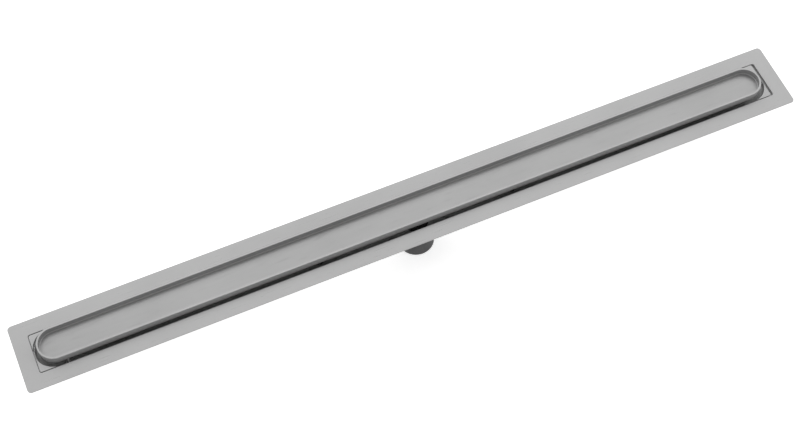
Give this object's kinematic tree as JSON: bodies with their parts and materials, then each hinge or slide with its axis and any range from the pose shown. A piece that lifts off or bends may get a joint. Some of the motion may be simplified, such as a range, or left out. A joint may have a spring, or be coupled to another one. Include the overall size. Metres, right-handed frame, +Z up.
{
  "type": "linear shower drain",
  "caption": "Long shower drain with a flat steel flange, a stadium-shaped tray for a tile insert standing in a slot, a falling trough and a vertical outlet with a lift-out odour trap",
  "frame": {"origin": "centre of the outlet spigot's lower end, on the outlet's axis; the flange's top face is 80 mm above it", "axes": "+X along the drain, +Y across it, +Z up out of the floor"},
  "size_m": [1.1, 0.1, 0.0925],
  "materials": {
    "satin_steel": "fine satin stainless steel",
    "bright_fastener": "plain turned stainless steel",
    "black_rubber": "matte moulded rubber",
    "dark_outlet_plastic": "matte dark grey moulded plastic",
    "trap_plastic": "matte grey moulded plastic"
  },
  "bodies": {
    "root": {"flange_plate": "satin_steel", "channel_trough": "satin_steel", "tile_tray": "satin_steel", "tray_bridge_1": "satin_steel", "tray_bridge_2": "satin_steel", "tray_bridge_3": "satin_steel", "tray_bridge_4": "satin_steel", "locating_pin_left": "satin_steel", "locating_pin_right": "satin_steel", "strainer_ring": "satin_steel", "corner_plate_1": "satin_steel", "corner_plate_2": "satin_steel", "corner_plate_3": "satin_steel", "corner_plate_4": "satin_steel", "levelling_screws": "bright_fastener", "lock_nuts": "bright_fastener", "outlet_screws": "bright_fastener", "foot_pad_1": "black_rubber", "foot_pad_2": "black_rubber", "foot_pad_3": "black_rubber", "foot_pad_4": "black_rubber", "foot_pad_5": "black_rubber", "foot_pad_6": "black_rubber", "foot_pad_7": "black_rubber", "foot_pad_8": "black_rubber", "outlet_gasket": "black_rubber", "trap_ring": "black_rubber", "outlet_body": "dark_outlet_plastic", "trap_cup": "trap_plastic", "trap_bell": "trap_plastic", "hair_strainer": "trap_plastic"}
  },
  "joints": []
}
